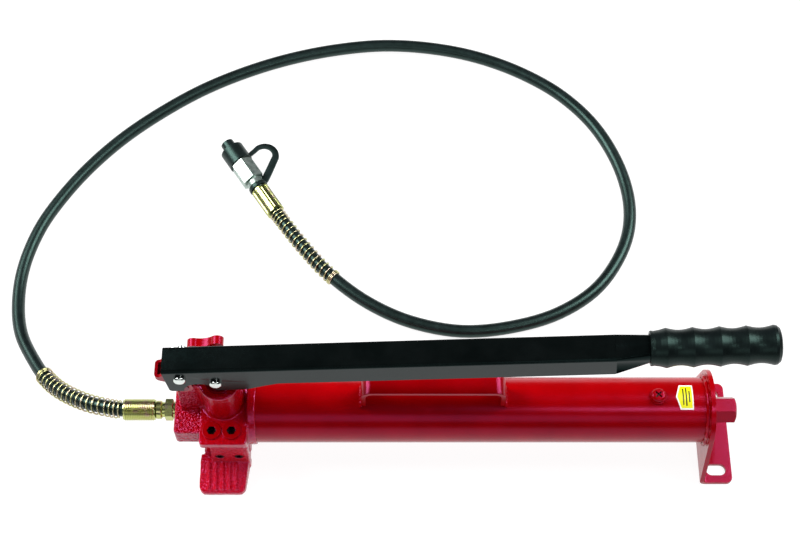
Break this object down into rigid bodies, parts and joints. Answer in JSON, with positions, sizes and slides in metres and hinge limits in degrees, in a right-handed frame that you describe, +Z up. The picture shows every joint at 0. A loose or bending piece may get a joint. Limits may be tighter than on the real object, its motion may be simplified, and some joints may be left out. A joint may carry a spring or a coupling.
{
  "type": "hydraulic hand pump",
  "caption": "Single-speed hydraulic hand pump: tubular reservoir, cast pump head, lever with rubber grip, and a hose with spring guards and capped coupler.",
  "frame": {"origin": "centre of the pump's footprint on the floor, without the hose: halfway between the link's web and the grip's end, on the reservoir's centre plane", "axes": "+X along the reservoir from the pump head to the end plate and grip, +Y to the side of the release knob, +Z up"},
  "size_m": [0.7682, 0.563, 0.231],
  "materials": {
    "red_enamel": "gloss red enamel",
    "red_casting": "red enamel over rough sand casting",
    "red_plugs": "gloss red enamel",
    "dark_red_steel": "thin red enamel",
    "black_enamel": "gloss black enamel",
    "grip_rubber": "satin moulded",
    "hose_rubber": "smooth extruded cover",
    "cap_rubber": "moulded",
    "seal_rubber": "moulded",
    "yellow_zinc": "yellow chromate zinc plate",
    "bright_zinc": "bright zinc plate",
    "black_oxide": "black oxide",
    "ground_steel": "ground",
    "copper": "annealed",
    "label": "blank printed film"
  },
  "bodies": {
    "pump": {"pump_head": "red_casting", "foot_pad": "red_casting", "foot_screws": "black_oxide", "reservoir_tube": "red_enamel", "end_plate": "red_enamel", "tie_rod": "ground_steel", "end_nut": "red_enamel", "end_seal": "copper", "head_seal": "seal_rubber", "carry_bar": "red_enamel", "filler_boss": "red_enamel", "filler_seal": "seal_rubber", "blank_label": "label", "suction_tube": "ground_steel", "suction_filter": "ground_steel", "inlet_plug": "red_plugs", "inlet_spring": "ground_steel", "outlet_plug": "red_plugs", "outlet_spring": "ground_steel", "relief_screw": "black_oxide", "relief_spring": "ground_steel", "plunger_gland": "dark_red_steel", "plunger_seal": "seal_rubber", "link_pin": "bright_zinc", "hose_fitting": "yellow_zinc", "pump_ferrule": "yellow_zinc", "pump_guard": "yellow_zinc", "hose": "hose_rubber", "coupler_guard": "yellow_zinc", "coupler_ferrule": "yellow_zinc", "coupler_body": "bright_zinc", "cap_strap": "cap_rubber"},
    "plunger": {"plunger": "ground_steel"},
    "lever": {"lever": "black_enamel", "grip": "grip_rubber", "fulcrum_pin": "bright_zinc", "plunger_pin": "bright_zinc", "pin_washers": "bright_zinc", "pin_clips": "bright_zinc"},
    "link": {"link": "red_enamel"},
    "release_valve": {"release_spindle": "ground_steel", "release_knob": "red_enamel", "knob_pin": "bright_zinc", "release_seal": "seal_rubber"},
    "vent_screw": {"filler_screw": "red_enamel"},
    "dust_cap": {"dust_cap": "cap_rubber"},
    "inlet_ball": {"inlet_ball": "ground_steel"},
    "outlet_ball": {"outlet_ball": "ground_steel"},
    "relief_ball": {"relief_ball": "ground_steel"}
  },
  "joints": [
    {"name": "plunger_slide", "type": "slide", "parent": "pump", "child": "plunger", "axis": [0, 0, 1], "range_m": [0, 0.0236]},
    {"name": "handle_swing", "type": "hinge", "parent": "plunger", "child": "lever", "pos_m": [-0.233, 0, 0.1585], "axis": [0, -1, 0], "range_deg": [0, 40]},
    {"name": "link_swing", "type": "hinge", "parent": "pump", "child": "link", "pos_m": [-0.266, 0, 0.137], "axis": [0, 1, 0], "range_deg": [0, 2.2]},
    {"name": "release_turn", "type": "hinge", "parent": "pump", "child": "release_valve", "pos_m": [-0.253, 0, 0.08], "axis": [0, 1, 0], "range_deg": [0, 360]},
    {"name": "vent_turn", "type": "hinge", "parent": "pump", "child": "vent_screw", "pos_m": [0.1945, 0, 0.097], "axis": [0, 0, 1], "range_deg": [0, 360]},
    {"name": "cap_pull", "type": "slide", "parent": "pump", "child": "dust_cap", "axis": [-0.5446, 0.8387, 0], "range_m": [0, 0.025], "deforming": ["cap_strap"]},
    {"name": "inlet_lift", "type": "slide", "parent": "pump", "child": "inlet_ball", "axis": [0, 0, 1], "range_m": [0, 0.0015], "deforming": ["inlet_spring"]},
    {"name": "outlet_lift", "type": "slide", "parent": "pump", "child": "outlet_ball", "axis": [0, 0, 1], "range_m": [0, 0.0015], "deforming": ["outlet_spring"]},
    {"name": "relief_lift", "type": "slide", "parent": "pump", "child": "relief_ball", "axis": [0, 0, 1], "range_m": [0, 0.001], "deforming": ["relief_spring"]}
  ],
  "couplings": [
    {"joint": "plunger_slide", "follows": "handle_swing", "m_per_rad": 0.0334},
    {"joint": "link_swing", "follows": "handle_swing", "ratio": 0.05}
  ]
}
